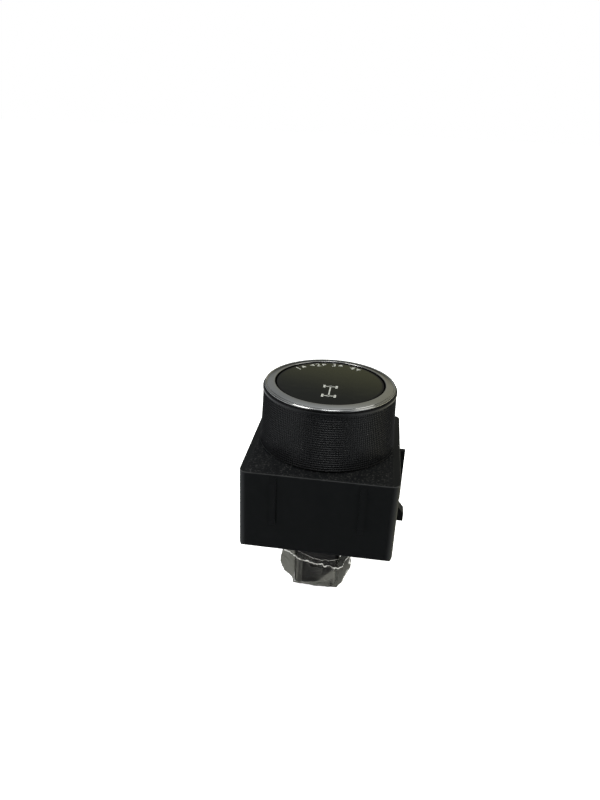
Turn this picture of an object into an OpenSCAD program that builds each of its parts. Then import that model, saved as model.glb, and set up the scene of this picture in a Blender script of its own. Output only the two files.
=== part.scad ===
// Rotary mode switch for a dashboard: a knurled ring knob with a bright bezel turns
// round a fixed display face, on a square housing with a plug socket underneath.
// Millimetres, +Z up through the knob, origin at the centre of the socket's foot.

/* [Housing] */
// Width and depth of the square housing
box_w = 58.6; // [56:0.2:64]
// Height of the housing walls
box_h = 33.5; // [32:0.5:40]
// Thickness of the housing walls and top plate
wall = 2; // [1.6:0.1:2.4]
// Radius of the upright corners
corner_r = 3; // [1:0.2:4]
// Radius round the bottom edges, under the wall thickness
lower_edge_r = 1.9; // [0.5:0.1:1.9]
// Radius round the top edges
upper_edge_r = 0.5; // [0.2:0.1:1]
// How far the side nibs stand out
nib_out = 3.5; // [2:0.5:5]
// How far the side rail stands out
rail_out = 2.5; // [1:0.5:3]

/* [Knob] */
// How far the knob's axis sits behind the housing's centre
knob_y = 2; // [0:0.5:2]
// Height of the knob's rim above the top plate
knob_h = 25; // [20:0.2:30]
// Radius of the bezel, a little inside the grip's top
grip_top_r = 25.3; // [24.6:0.1:26]
// Radius of the grip at the top plate
grip_base_r = 27; // [26:0.1:27]
// Radius of the opening in the bezel
bezel_hole_r = 21.3; // [21.1:0.1:22]
// Angle between two switch positions
step_angle = 25; // [20:1:25]
// Number of switch positions
positions = 4; // [2:1:4]

/* [Gear train] */
// Module of the gear teeth
gear_module = 0.8; // [0.8:0.1:0.8]
// Teeth on the ring gear
ring_teeth = 60; // [60:1:60]
// Teeth on the sensor pinion
pinion_teeth = 12; // [12:1:12]
// Direction of the pinion from the knob's axis
pinion_dir = -50; // [-52:1:-45]

/* [Socket] */
// Width of the plug socket
socket_w = 18; // [16:1:22]
// Depth of the plug socket, front to back
socket_d = 26; // [24:1:30]
// Length of the socket below the housing
socket_len = 26.8; // [24:0.2:34]
// Depth of the hollow that takes the plug
socket_hollow = 20; // [14:1:22]
// Number of pins in each of the two rows
pins_per_row = 8; // [4:1:8]

/* [Hidden] */
$fn = 48;
tiny = 0.01;

// Levels, from the socket's foot upwards
box_z = socket_len;
plate_z = box_z + box_h;
under_plate_z = plate_z - wall;
base_z = box_z + 2;
base_t = 2;
board_z = base_z + base_t + 4;
board_t = 1.6;
board_top_z = board_z + board_t;
knob_foot_z = plate_z + 0.4;
knob_top_z = plate_z + knob_h;
bezel_t = 1.4;
bead_r = 0.6;
bead_drop = 0.75;
grip_top_z = knob_top_z - bezel_t;
lens_t = 1.5;
lens_z = knob_top_z - 0.35 - lens_t;
diffuser_t = 0.5;
light_box_t = 5.5;
display_board_z = lens_z - diffuser_t - light_box_t - board_t;

// Radii about the knob's axis
tube_r = 20.8;
tube_wall = 1.5;
tube_bore_r = tube_r - tube_wall;
bearing_gap = 0.06;
carrier_r = 22.8;
neck_r = carrier_r + 0.5;
flange_r = 24.4;
flange_t = 1.4;
glide_t = 1;
flange_top_z = under_plate_z - glide_t - 0.1;
flange_z = flange_top_z - flange_t;
gear_face = 3.4;
gear_z = flange_z - gear_face;
cam_face = 3.2;
cam_z = gear_z - cam_face;
cam_valley_r = 23.4;
cam_rise = 0.7;
lens_r = 20.7;
travel = step_angle * (positions - 1);

// Gears
ring_pitch_r = gear_module * ring_teeth / 2;
pinion_pitch_r = gear_module * pinion_teeth / 2;
pressure_angle = 20;
backlash = 0.16;
tooth_rise = 0.9 * gear_module;
tooth_drop = 1.3 * gear_module;
pinion_x = (ring_pitch_r + pinion_pitch_r) * cos(pinion_dir);
pinion_y = knob_y + (ring_pitch_r + pinion_pitch_r) * sin(pinion_dir);
axle_r = 1;
magnet_t = 3;
holder_h = 4.1;
magnet_z = board_top_z + holder_h + 0.1;
stop_half = 3;
lug_half = 4;
lug_dir = -62;
stop_gap = 0.5;

// Detent springs: place of the strip, half its span and its thickness
spring_x = 25.9;
spring_half = 13;
spring_t = 0.4;

// Socket and pins
socket_y = -1;
socket_wall = 1.6;
pin_size = 0.64;
pin_pitch = 2.54;
row_gap = 6;
pin_bare = 8;

// Screw posts: three corners and one beside the pinion
post_r = 2.4;
screw_r = 1.1;
screw_places = [[-23, -23], [-23, 23], [23, 23], [24.4, -14]];
tube_screw_r = 0.9;
tube_screw_ring = 17.9;
tube_screw_dirs = [90, 210, 330];

// Legend chambers: angle clockwise from the rear, and the symbol nearer the front
legend_dirs = [-46.5, -21.5, 3.5, 28.5];
legend_r = 17;
symbol_y = -6.6;

// ---- shapes that repeat ----

module rounded_square(w, d, r) {
    union() {
        square([w - 2 * r, d], center = true);
        square([w, d - 2 * r], center = true);
        for (x = [-1, 1], y = [-1, 1]) translate([x * (w / 2 - r), y * (d / 2 - r)]) circle(r);
    }
}

module rounded_block(w, d, h, r) {
    linear_extrude(h) rounded_square(w, d, r);
}

module about_knob() {
    translate([0, knob_y, 0]) children();
}

module ring(r_out, r_in, z0, z1) {
    about_knob() translate([0, 0, z0]) difference() {
        cylinder(r = r_out, h = z1 - z0, $fn = 96);
        translate([0, 0, -1]) cylinder(r = r_in, h = z1 - z0 + 2, $fn = 96);
    }
}

module sector(r_in, r_out, z0, z1, dir, half) {
    about_knob() rotate([0, 0, dir - half]) rotate_extrude(angle = 2 * half, $fn = 96)
        translate([r_in, z0]) square([r_out - r_in, z1 - z0]);
}

module pan_screw(head_r, head_h, shank_r, shank_l) {
    difference() {
        union() {
            translate([0, 0, -head_h]) cylinder(r = head_r, h = head_h);
            cylinder(r = shank_r, h = shank_l);
        }
        for (turn = [0, 90]) rotate([0, 0, turn])
            translate([-head_r * 0.6, -0.25, -head_h - 1]) cube([head_r * 1.2, 0.5, 1 + head_h * 0.6]);
    }
}

module chip(w, d, h) {
    translate([-w / 2, -d / 2, 0]) cube([w, d, h]);
}

// ---- gear and cam outlines ----

function polar(r, a) = [r * cos(a), r * sin(a)];
function involute(r, base) = sqrt(pow(max(r, base) / base, 2) - 1) * 180 / PI - acos(base / max(r, base));
function tooth_half(r, pitch_r, teeth) =
    90 / teeth - backlash / 4 / pitch_r * 180 / PI
    + involute(pitch_r, pitch_r * cos(pressure_angle)) - involute(r, pitch_r * cos(pressure_angle));
function tooth_radii(pitch_r) =
    [for (k = [0 : 4]) pitch_r - tooth_drop + k / 4 * (tooth_drop + tooth_rise)];
function tooth(pitch_r, teeth, a) = concat(
    [for (r = tooth_radii(pitch_r)) polar(r, a - tooth_half(r, pitch_r, teeth))],
    [for (k = [4 : -1 : 0]) let (r = tooth_radii(pitch_r)[k]) polar(r, a + tooth_half(r, pitch_r, teeth))]
);
function gear_outline(pitch_r, teeth) =
    [for (t = [0 : teeth - 1]) each tooth(pitch_r, teeth, 360 * t / teeth)];

function cam_part(a) = a < -step_angle / 2 || a > travel + step_angle / 2
    ? 1 : (1 - cos(360 * a / step_angle)) / 2;
function cam_radius(a) = cam_valley_r + cam_rise * min(cam_part(a), cam_part(a < 90 ? a + 180 : a - 180));
function cam_outline() = [for (a = [-60 : 3 : 297]) polar(cam_radius(a), a)];

// ---- housing ----

module edge_profile() {
    r = lower_edge_r;
    t = upper_edge_r;
    translate([0, box_z]) union() {
        translate([-box_w / 2, r]) square([box_w, box_h - r - t]);
        translate([-box_w / 2 + r, 0]) square([box_w - 2 * r, box_h]);
        translate([-box_w / 2 + t, box_h / 2]) square([box_w - 2 * t, box_h / 2]);
        for (s = [-1, 1]) {
            translate([s * (box_w / 2 - r), r]) circle(r);
            translate([s * (box_w / 2 - t), box_h - t]) circle(t);
        }
    }
}

module box_block() {
    intersection() {
        translate([0, 0, box_z]) rounded_block(box_w, box_w, box_h, corner_r);
        rotate([90, 0, 0]) translate([0, 0, -box_w]) linear_extrude(2 * box_w) edge_profile();
        rotate([90, 0, 90]) translate([0, 0, -box_w]) linear_extrude(2 * box_w) edge_profile();
    }
}

// Guide ribs on the front and rear walls, each sloping into the wall at both ends
module guide_ribs() {
    rib_x = 16.5;
    rib_w = 2.4;
    rib_out = 0.6;
    rib_top = plate_z - 0.9;
    rib_low = plate_z - 22;
    for (s = [-1, 1], turn = [0, 180]) rotate([0, 0, turn])
        translate([s * rib_x - rib_w / 2, 0, 0]) rotate([90, 0, 90]) linear_extrude(rib_w) polygon([
            [-box_w / 2 + 0.5, rib_low], [-box_w / 2, rib_low],
            [-box_w / 2 - rib_out, rib_low + 2], [-box_w / 2 - rib_out, rib_top - 3],
            [-box_w / 2 - 0.05, rib_top], [-box_w / 2 + 0.5, rib_top]
        ]);
}

// Upright rail on the right-hand wall
module side_rail() {
    rail_y = 5;
    rail_w = 2;
    rail_top = plate_z - 3.9;
    rail_low = plate_z - 29;
    translate([0, rail_y, 0])
        translate([0, rail_w, 0]) rotate([90, 0, 0]) linear_extrude(rail_w) polygon([
            [box_w / 2 - 0.5, rail_low], [box_w / 2, rail_low],
            [box_w / 2 + rail_out, rail_low + rail_out], [box_w / 2 + rail_out, rail_top],
            [box_w / 2 - 0.5, rail_top]
        ]);
}

// Catch on each side wall: a ramp that faces the knob and a flat shoulder that faces the socket
module side_nibs() {
    nib_y = -11;
    nib_w = 5;
    ramp_top = plate_z - 18.6;
    full_out = plate_z - 23.1;
    shoulder = plate_z - 26.5;
    for (s = [-1, 1]) translate([0, nib_y, 0]) mirror([s < 0 ? 1 : 0, 0, 0])
        translate([0, nib_w, 0]) rotate([90, 0, 0]) linear_extrude(nib_w) polygon([
            [box_w / 2 - 0.5, shoulder], [box_w / 2 + nib_out, shoulder],
            [box_w / 2 + nib_out, full_out], [box_w / 2, ramp_top], [box_w / 2 - 0.5, ramp_top]
        ]);
}

// Posts that hold the detent springs by their ends
module spring_posts() {
    for (s = [-1, 1], e = [-1, 1])
        translate([s * (spring_x + spring_t / 2) - 1, knob_y + e * spring_half - 1.2, cam_z + 0.1])
            difference() {
                cube([2, 2.4, under_plate_z - cam_z]);
                translate([0.75, e < 0 ? 0.4 : -1, -1]) cube([spring_t + 0.1, 3, cam_face + 1]);
            }
}

module front_housing() {
    color([0.06, 0.06, 0.065]) difference() {
        union() {
            difference() {
                union() {
                    box_block();
                    guide_ribs();
                    side_rail();
                    side_nibs();
                }
                translate([-box_w / 2 + wall, -box_w / 2 + wall, box_z - 1])
                    cube([box_w - 2 * wall, box_w - 2 * wall, box_h - wall + 1]);
            }
            for (p = screw_places) translate([p[0], p[1], board_top_z])
                cylinder(r = post_r, h = under_plate_z - board_top_z + tiny);
            translate([pinion_x, pinion_y, gear_z + gear_face + 0.1])
                cylinder(r = 2.2, h = under_plate_z - gear_z - gear_face);
            sector(flange_r + 0.3, flange_r + 2, flange_z + 0.1, under_plate_z + tiny,
                lug_dir + lug_half + stop_gap + stop_half, stop_half);
            sector(flange_r + 0.3, flange_r + 2, flange_z + 0.1, under_plate_z + tiny,
                lug_dir - travel - lug_half - stop_gap - stop_half, stop_half);
            spring_posts();
        }
        about_knob() translate([0, 0, under_plate_z - 1]) cylinder(r = neck_r, h = wall + 2, $fn = 96);
        for (p = screw_places) translate([p[0], p[1], board_top_z - 1])
            cylinder(r = screw_r + 0.05, h = 10);
        translate([pinion_x, pinion_y, gear_z]) cylinder(r = axle_r + 0.01, h = plate_z - 1 - gear_z);
    }
}

module base_cover() {
    fit = 0.1;
    half = box_w / 2 - wall - fit;
    color([0.07, 0.07, 0.075]) difference() {
        union() {
            translate([-half, -half, base_z]) cube([2 * half, 2 * half, base_t]);
            for (p = screw_places) translate([p[0], p[1], base_z])
                cylinder(r = post_r, h = board_z - base_z);
            translate([0, socket_y, base_z - 1.6])
                rounded_block(socket_w + 4, socket_d + 4, 1.6 + tiny, 2);
        }
        translate([0, socket_y, base_z - 3])
            rounded_block(socket_w + 0.2, socket_d + 0.2, base_t + 4, 1.6);
        for (p = screw_places) translate([p[0], p[1], base_z - 1])
            cylinder(r = screw_r + 0.15, h = board_z);
        for (s = [-1, 1]) translate([s * 18.5 - 4.5, -16, base_z - 1]) cube([9, 30, 1.6]);
    }
}

module glide_ring() {
    color([0.93, 0.93, 0.88]) ring(flange_r + 0.2, neck_r, under_plate_z - glide_t, under_plate_z);
}

// ---- knob ----

module grip_ring() {
    color([0.05, 0.05, 0.055]) about_knob() rotate_extrude($fn = 96) polygon([
        [carrier_r, knob_foot_z], [grip_base_r - 0.3, knob_foot_z], [grip_base_r, knob_foot_z + 0.3],
        [grip_base_r, knob_foot_z + 0.9], [grip_base_r - 0.35, knob_foot_z + 1.6],
        [grip_top_r + 1, knob_foot_z + 13], [grip_top_r + 0.7, grip_top_z - 1.6],
        [grip_top_r + 0.6, grip_top_z - 0.3], [grip_top_r + 0.3, grip_top_z], [carrier_r, grip_top_z]
    ]);
}

module bezel_ring() {
    color([0.85, 0.85, 0.87]) about_knob() rotate_extrude($fn = 96) union() {
        polygon([
            [bezel_hole_r, grip_top_z], [grip_top_r - 0.15, grip_top_z],
            [grip_top_r - 0.1, knob_top_z - bead_drop], [grip_top_r - bead_r, knob_top_z - 0.3],
            [grip_top_r - 1.25, knob_top_z - 0.4], [grip_top_r - 1.35, knob_top_z - 0.5],
            [grip_top_r - 1.5, knob_top_z - 0.3], [grip_top_r - 2.6, knob_top_z - 0.08],
            [bezel_hole_r + 0.3, knob_top_z], [bezel_hole_r + 0.08, knob_top_z - 0.08],
            [bezel_hole_r, knob_top_z - 0.3]
        ]);
        translate([grip_top_r - bead_r, knob_top_z - bead_drop]) circle(bead_r);
    }
}

module knob_carrier() {
    color([0.12, 0.12, 0.13]) {
        about_knob() rotate_extrude($fn = 96) polygon([
            [tube_r + bearing_gap, cam_z - 0.8], [carrier_r, cam_z - 0.8],
            [carrier_r, flange_z], [flange_r, flange_z],
            [flange_r, flange_top_z], [carrier_r, flange_top_z],
            [carrier_r, grip_top_z], [bezel_hole_r, grip_top_z],
            [bezel_hole_r, lens_z - 0.4], [tube_r + bearing_gap, lens_z - 0.9]
        ]);
        sector(flange_r - 0.3, flange_r + 1.6, flange_z, flange_top_z, lug_dir, lug_half);
    }
}

module gear_ring() {
    color([0.86, 0.84, 0.78]) about_knob() difference() {
        union() {
            translate([0, 0, gear_z]) linear_extrude(gear_face)
                rotate(pinion_dir) polygon(gear_outline(ring_pitch_r, ring_teeth));
            translate([0, 0, cam_z]) linear_extrude(cam_face + tiny) polygon(cam_outline());
        }
        translate([0, 0, cam_z - 1]) cylinder(r = carrier_r, h = cam_face + gear_face + 2, $fn = 96);
    }
}

// ---- fixed display ----

module display_tube() {
    shoulder_z = cam_z - 0.9;
    ledge_z = display_board_z - 1.5;
    color([0.1, 0.1, 0.11]) {
        about_knob() difference() {
            union() {
                rotate_extrude($fn = 96) polygon([
                    [tube_bore_r, board_top_z], [tube_r + 1.4, board_top_z],
                    [tube_r + 1.4, board_top_z + 1.4], [tube_r, board_top_z + 1.4],
                    [tube_r, shoulder_z - 1.6], [carrier_r, shoulder_z - 1.6],
                    [carrier_r, shoulder_z], [tube_r, shoulder_z], [tube_r, lens_z],
                    [tube_bore_r, lens_z], [tube_bore_r, display_board_z],
                    [tube_bore_r - 1.6, display_board_z], [tube_bore_r - 1.6, ledge_z],
                    [tube_bore_r, ledge_z - 1.4]
                ]);
                for (a = tube_screw_dirs) rotate([0, 0, a]) translate([tube_screw_ring, 0, board_top_z + 0.4])
                    cylinder(r = 2.1, h = 8.6);
            }
            for (a = tube_screw_dirs) rotate([0, 0, a])
                translate([tube_screw_ring, 0, board_top_z - 1]) cylinder(r = tube_screw_r + 0.05, h = 8);
        }
    }
}

module face_lens() {
    color([0.03, 0.035, 0.04]) about_knob() rotate_extrude($fn = 96) polygon([
        [0, lens_z], [lens_r, lens_z], [lens_r, lens_z + lens_t - 0.25],
        [lens_r - 0.25, lens_z + lens_t], [0, lens_z + lens_t]
    ]);
}

module diffuser_disc() {
    color("white") about_knob() translate([0, 0, lens_z - diffuser_t])
        cylinder(r = tube_bore_r - 0.05, h = diffuser_t, $fn = 96);
}

// Places of the lamps: the four legends round the rear and the symbol in front of the centre
module at_lamps() {
    about_knob() {
        for (a = legend_dirs) rotate([0, 0, 90 - a]) translate([legend_r, 0, 0]) children();
        translate([0, symbol_y, 0]) children();
    }
}

module light_box() {
    color([0.95, 0.95, 0.93]) difference() {
        about_knob() translate([0, 0, display_board_z + board_t])
            cylinder(r = tube_bore_r - 0.05, h = light_box_t, $fn = 96);
        at_lamps() translate([-1.9, -2.6, display_board_z]) cube([3.8, 5.2, light_box_t + 4]);
    }
}

module display_board() {
    color([0.02, 0.25, 0.12]) about_knob() translate([0, 0, display_board_z])
        cylinder(r = tube_bore_r - 0.05, h = board_t, $fn = 96);
}

module display_leds() {
    color([0.95, 0.9, 0.6]) at_lamps() translate([0, 0, display_board_z + board_t]) chip(1.6, 3, 0.8);
}

module flex_tail() {
    color([0.8, 0.5, 0.15]) translate([-4, knob_y + 8, board_top_z + 1.5])
        cube([8, 0.3, display_board_z - board_top_z - 3]);
}

module flex_sockets() {
    color([0.9, 0.88, 0.8]) translate([0, knob_y + 8.15, 0]) {
        translate([0, 0, board_top_z]) chip(11, 3, 1.5);
        translate([0, 0, display_board_z - 1.5]) chip(11, 3, 1.5);
    }
}

// ---- electronics ----

module main_board() {
    half = box_w / 2 - wall - 0.5;
    color([0.02, 0.3, 0.15]) difference() {
        translate([-half, -half, board_z]) cube([2 * half, 2 * half, board_t]);
        for (p = screw_places) translate([p[0], p[1], board_z - 1]) cylinder(r = screw_r + 0.1, h = 4);
        about_knob() for (a = tube_screw_dirs) rotate([0, 0, a])
            translate([tube_screw_ring, 0, board_z - 1]) cylinder(r = tube_screw_r + 0.1, h = 4);
        at_pins() translate([0, 0, board_z - 1]) cylinder(r = 0.5, h = 4);
    }
}

module control_chip() {
    color([0.08, 0.08, 0.08]) translate([-8.5, -3, board_top_z]) chip(7, 7, 1.2);
}

module capacitors() {
    color([0.75, 0.75, 0.78]) for (y = [-7, 0]) translate([10, y, board_top_z]) cylinder(r = 2.5, h = 5.4);
}

module resistors() {
    color([0.15, 0.15, 0.16]) for (k = [0 : 5]) translate([-9 + 2.4 * k, -12, board_top_z]) chip(1, 2, 0.5);
}

module rotation_sensor() {
    color([0.08, 0.08, 0.08]) translate([pinion_x, pinion_y, board_top_z]) chip(5, 4, 1.4);
}

module sensor_holder() {
    color([0.85, 0.83, 0.76]) translate([pinion_x, pinion_y, board_top_z]) difference() {
        chip(8, 8, holder_h + 1.6);
        translate([-3, -2.6, -1]) cube([6, 5.2, 1 + holder_h - 0.8]);
        translate([0, 0, holder_h]) cylinder(r = 3.3, h = 3);
    }
}

module encoder_pinion() {
    color([0.9, 0.9, 0.86]) translate([pinion_x, pinion_y, 0]) difference() {
        union() {
            translate([0, 0, gear_z + 0.2]) linear_extrude(gear_face - 0.5)
                rotate(pinion_dir + 180 + 180 / pinion_teeth)
                    polygon(gear_outline(pinion_pitch_r, pinion_teeth));
            translate([0, 0, magnet_z + magnet_t]) cylinder(r = 2.8, h = gear_z + 0.3 - magnet_z - magnet_t);
        }
        translate([0, 0, magnet_z + magnet_t + 1.5]) cylinder(r = axle_r + 0.06, h = 20);
    }
}

module sensor_magnet() {
    color([0.5, 0.5, 0.52]) translate([pinion_x, pinion_y, magnet_z]) cylinder(r = 2.8, h = magnet_t);
}

module pinion_axle() {
    foot = magnet_z + magnet_t + 1.7;
    color([0.7, 0.7, 0.72]) translate([pinion_x, pinion_y, foot])
        cylinder(r = axle_r, h = plate_z - 1 - foot);
}

// Bent spring strip on each side, its nose in a valley of the cam
module detent_springs() {
    nose_x = cam_valley_r + 0.05;
    color([0.75, 0.76, 0.78]) for (s = [0, 180])
        about_knob() rotate([0, 0, s]) translate([0, 0, cam_z + 0.2]) linear_extrude(cam_face - 0.4) polygon([
            [spring_x, -spring_half - 0.6], [spring_x, -4], [nose_x + 0.4, -1.2], [nose_x, -0.5],
            [nose_x, 0.5], [nose_x + 0.4, 1.2], [spring_x, 4], [spring_x, spring_half + 0.6],
            [spring_x + spring_t, spring_half + 0.6], [spring_x + spring_t, 4 - 0.1],
            [nose_x + 0.8, 1.1], [nose_x + spring_t, 0.3], [nose_x + spring_t, -0.3],
            [nose_x + 0.8, -1.1], [spring_x + spring_t, -4 + 0.1], [spring_x + spring_t, -spring_half - 0.6]
        ]);
}

// ---- socket ----

module at_pins() {
    for (s = [-1, 1], k = [0 : pins_per_row - 1])
        translate([s * row_gap / 2, socket_y + (k - (pins_per_row - 1) / 2) * pin_pitch, 0]) children();
}

module connector_shroud() {
    floor_t = 3;
    inner_w = socket_w - 2 * socket_wall;
    inner_d = socket_d - 2 * socket_wall;
    color([0.09, 0.09, 0.1]) difference() {
        union() {
            translate([0, socket_y, 0]) rounded_block(socket_w, socket_d, board_z, 1.5);
            // keying ribs on the front wall and the ramp that the plug's latch catches
            for (s = [-1, 1]) translate([s * (socket_w / 2 - 2.4) - 0.9, socket_y - socket_d / 2 - 0.8, 0])
                cube([1.8, 1.2, box_z - 4]);
            translate([-2.5, socket_y - socket_d / 2, 0]) rotate([90, 0, 90]) linear_extrude(5)
                polygon([[0.5, 5], [0, 5], [-1.3, 8.6], [-1.3, 9.6], [0.5, 9.6]]);
        }
        translate([0, socket_y, -1]) rounded_block(inner_w, inner_d, socket_hollow + 1, 1);
        translate([0, socket_y, socket_hollow + floor_t])
            rounded_block(inner_w, inner_d, board_z, 1);
        at_pins() translate([-pin_size / 2, -pin_size / 2, socket_hollow - 1]) cube([pin_size, pin_size, 6]);
    }
}

module terminal_pins() {
    color([0.8, 0.78, 0.7]) at_pins() translate([-pin_size / 2, -pin_size / 2, socket_hollow - pin_bare])
        cube([pin_size, pin_size, board_top_z + 1 - socket_hollow + pin_bare]);
}

module housing_screws() {
    color([0.7, 0.7, 0.72]) for (p = screw_places) translate([p[0], p[1], base_z])
        pan_screw(2, 1.5, screw_r, board_top_z + 7 - base_z);
}

module tube_screws() {
    color([0.7, 0.7, 0.72]) about_knob() for (a = tube_screw_dirs) rotate([0, 0, a])
        translate([tube_screw_ring, 0, board_z]) pan_screw(1.7, 1.2, tube_screw_r, 7);
}

// Clear sleeve wrapped loosely round the socket: bellied in the middle, open at both ends
module film_ring(grow, z) {
    translate([0, socket_y - 0.4, z]) linear_extrude(tiny)
        rounded_square(socket_w + 2 * grow, socket_d + 1.6 + 2 * grow, 2.4, $fn = 24);
}

module film_solid(inset) {
    hull() {
        film_ring(1.4 - inset, 1.2 - (inset > 0 ? 0.2 : 0));
        film_ring(3.6 - inset, 9);
    }
    hull() {
        film_ring(3.6 - inset, 9);
        film_ring(4.6 - inset, 18);
    }
    hull() {
        film_ring(4.6 - inset, 18);
        film_ring(3 - inset, 26 + (inset > 0 ? 0.2 : 0));
    }
}

module connector_film() {
    color([0.85, 0.87, 0.85, 0.4]) difference() {
        film_solid(0);
        film_solid(0.5);
    }
}

front_housing();
base_cover();
glide_ring();
grip_ring();
bezel_ring();
knob_carrier();
gear_ring();
display_tube();
face_lens();
diffuser_disc();
light_box();
display_board();
display_leds();
flex_tail();
flex_sockets();
main_board();
control_chip();
capacitors();
resistors();
rotation_sensor();
sensor_holder();
encoder_pinion();
sensor_magnet();
pinion_axle();
detent_springs();
connector_shroud();
terminal_pins();
housing_screws();
tube_screws();
connector_film();
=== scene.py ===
import math

import bmesh
import bpy
from mathutils import Matrix, Vector, noise


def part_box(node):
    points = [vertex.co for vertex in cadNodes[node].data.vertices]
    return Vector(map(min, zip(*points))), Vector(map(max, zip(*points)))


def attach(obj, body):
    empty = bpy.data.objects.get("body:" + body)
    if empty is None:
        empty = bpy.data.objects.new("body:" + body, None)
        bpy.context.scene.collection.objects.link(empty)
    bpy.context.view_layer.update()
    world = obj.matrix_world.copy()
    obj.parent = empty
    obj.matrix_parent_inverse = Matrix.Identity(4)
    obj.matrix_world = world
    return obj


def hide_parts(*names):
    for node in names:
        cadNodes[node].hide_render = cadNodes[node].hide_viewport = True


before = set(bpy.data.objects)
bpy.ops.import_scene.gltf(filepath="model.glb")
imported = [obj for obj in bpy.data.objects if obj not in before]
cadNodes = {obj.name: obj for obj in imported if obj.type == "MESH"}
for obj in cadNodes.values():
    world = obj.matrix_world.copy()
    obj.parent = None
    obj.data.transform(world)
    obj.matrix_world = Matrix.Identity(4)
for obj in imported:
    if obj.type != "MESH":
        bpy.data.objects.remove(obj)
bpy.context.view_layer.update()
mm = 0.001

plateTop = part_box("front_housing")[1].z
lensLow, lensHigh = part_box("face_lens")
knobMiddle = (lensLow + lensHigh) / 2
knobX, knobY = knobMiddle.x, knobMiddle.y
print("frame loaded:", len(cadNodes), "parts, knob at", round(knobY / mm, 2), "mm behind the middle")


# the camera, in front of the switch, a little to its right and above it
cameraSetup = {
    "place": (14.60 * mm, -221.95 * mm, plateTop + 119.10 * mm),
    "turn": 6.64,  # degrees to the right of the front
    "tilt": 24.59,  # degrees above the horizon
    "roll": 2.43,  # degrees
    "lens": 28.36,
    "sensor": 36.0,
    "nearest": 0.01,  # clipping, in metres
    "farthest": 20.0,
}


def placeCamera(setup):
    turn, tilt, roll = (math.radians(setup[key]) for key in ("turn", "tilt", "roll"))
    back = Vector((math.sin(turn) * math.cos(tilt), -math.cos(turn) * math.cos(tilt), math.sin(tilt)))
    right = Vector((0, 0, 1)).cross(back).normalized()
    up = back.cross(right)
    lens = bpy.data.cameras.new("productCamera")
    lens.lens, lens.sensor_width, lens.sensor_fit = setup["lens"], setup["sensor"], "AUTO"
    lens.clip_start, lens.clip_end = setup["nearest"], setup["farthest"]
    camera = bpy.data.objects.new("productCamera", lens)
    bpy.context.scene.collection.objects.link(camera)
    rolledRight = right * math.cos(roll) + up * math.sin(roll)
    rolledUp = up * math.cos(roll) - right * math.sin(roll)
    camera.matrix_world = Matrix.Translation(setup["place"]) @ Matrix(
        (rolledRight, rolledUp, back)
    ).transposed().to_4x4()
    bpy.context.scene.camera = camera


placeCamera(cameraSetup)


class Wire:
    # wraps a shader socket, so that arithmetic on it adds Math nodes
    def __init__(self, paint, socket):
        self.paint, self.socket = paint, socket

    def combine(self, operation, first, second):
        return self.paint.node("ShaderNodeMath", {"operation": operation}, {0: first, 1: second})

    def __add__(self, other):
        return self.combine("ADD", self, other)

    def __radd__(self, other):
        return self.combine("ADD", other, self)

    def __sub__(self, other):
        return self.combine("SUBTRACT", self, other)

    def __rsub__(self, other):
        return self.combine("SUBTRACT", other, self)

    def __mul__(self, other):
        return self.combine("MULTIPLY", self, other)

    def __rmul__(self, other):
        return self.combine("MULTIPLY", other, self)

    def __pow__(self, other):
        return self.combine("POWER", self, other)

    def __rpow__(self, other):
        return self.combine("POWER", other, self)


class Paint:
    # one material, or the world, and the nodes in it
    def __init__(self, name, world=False):
        self.made = bpy.data.worlds.new(name) if world else bpy.data.materials.new(name)
        self.made.use_nodes = True
        self.tree = self.made.node_tree
        self.shader = self.tree.nodes["Background" if world else "Principled BSDF"]

    def feed(self, socket, value):
        if isinstance(value, Wire):
            self.tree.links.new(value.socket, socket)
        elif isinstance(value, (tuple, list)) and len(value) == 3 and len(socket.default_value) == 4:
            socket.default_value = (*value, 1)
        else:
            socket.default_value = value

    def node(self, kind, settings=None, sockets=None, output=0):
        # settings first, because they decide which sockets there are
        made = self.tree.nodes.new(kind)
        for key, value in (settings or {}).items():
            setattr(made, key, value)
        for key, value in (sockets or {}).items():
            self.feed(made.inputs[key], value)
        return Wire(self, made.outputs[output])

    def place(self, output="Object"):
        return self.node("ShaderNodeTexCoord", output=output)

    def axes(self, place=None):
        place = place or self.place()
        return [self.node("ShaderNodeSeparateXYZ", sockets={0: place}, output=axis) for axis in range(3)]

    def size(self, value):
        # the value without its sign
        return self.node("ShaderNodeMath", {"operation": "ABSOLUTE"}, {0: value})

    def cloud(self, size, detail=2.0, rough=0.5, stretch=(1, 1, 1)):
        # soft noise, with spots about as large as the size in metres
        moved = self.node("ShaderNodeMapping", sockets={"Vector": self.place(), "Scale": stretch})
        look = {"Vector": moved, "Scale": 1 / size, "Detail": detail, "Roughness": rough}
        return self.node("ShaderNodeTexNoise", sockets=look)

    def cells(self, size):
        return self.node("ShaderNodeTexVoronoi", sockets={"Vector": self.place(), "Scale": 1 / size})

    def between(self, value, low, high):
        # 0 at low, 1 at high, with a soft shoulder
        return self.node(
            "ShaderNodeMapRange",
            {"interpolation_type": "SMOOTHSTEP"},
            {"Value": value, "From Min": low, "From Max": high},
        )

    def blendColour(self, share, first, second):
        return self.node("ShaderNodeMix", {"data_type": "RGBA"}, {0: share, 6: first, 7: second}, output=2)

    def bump(self, height, depth, strength=1.0, under=None):
        sockets = {"Height": height, "Distance": depth, "Strength": strength}
        if under is not None:
            sockets["Normal"] = under
        return self.node("ShaderNodeBump", sockets=sockets)

    def finish(self, varying, fixed=None):
        for key, value in {**varying, **(fixed or {})}.items():
            self.feed(self.shader.inputs[key], value)
        return self.made


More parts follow.
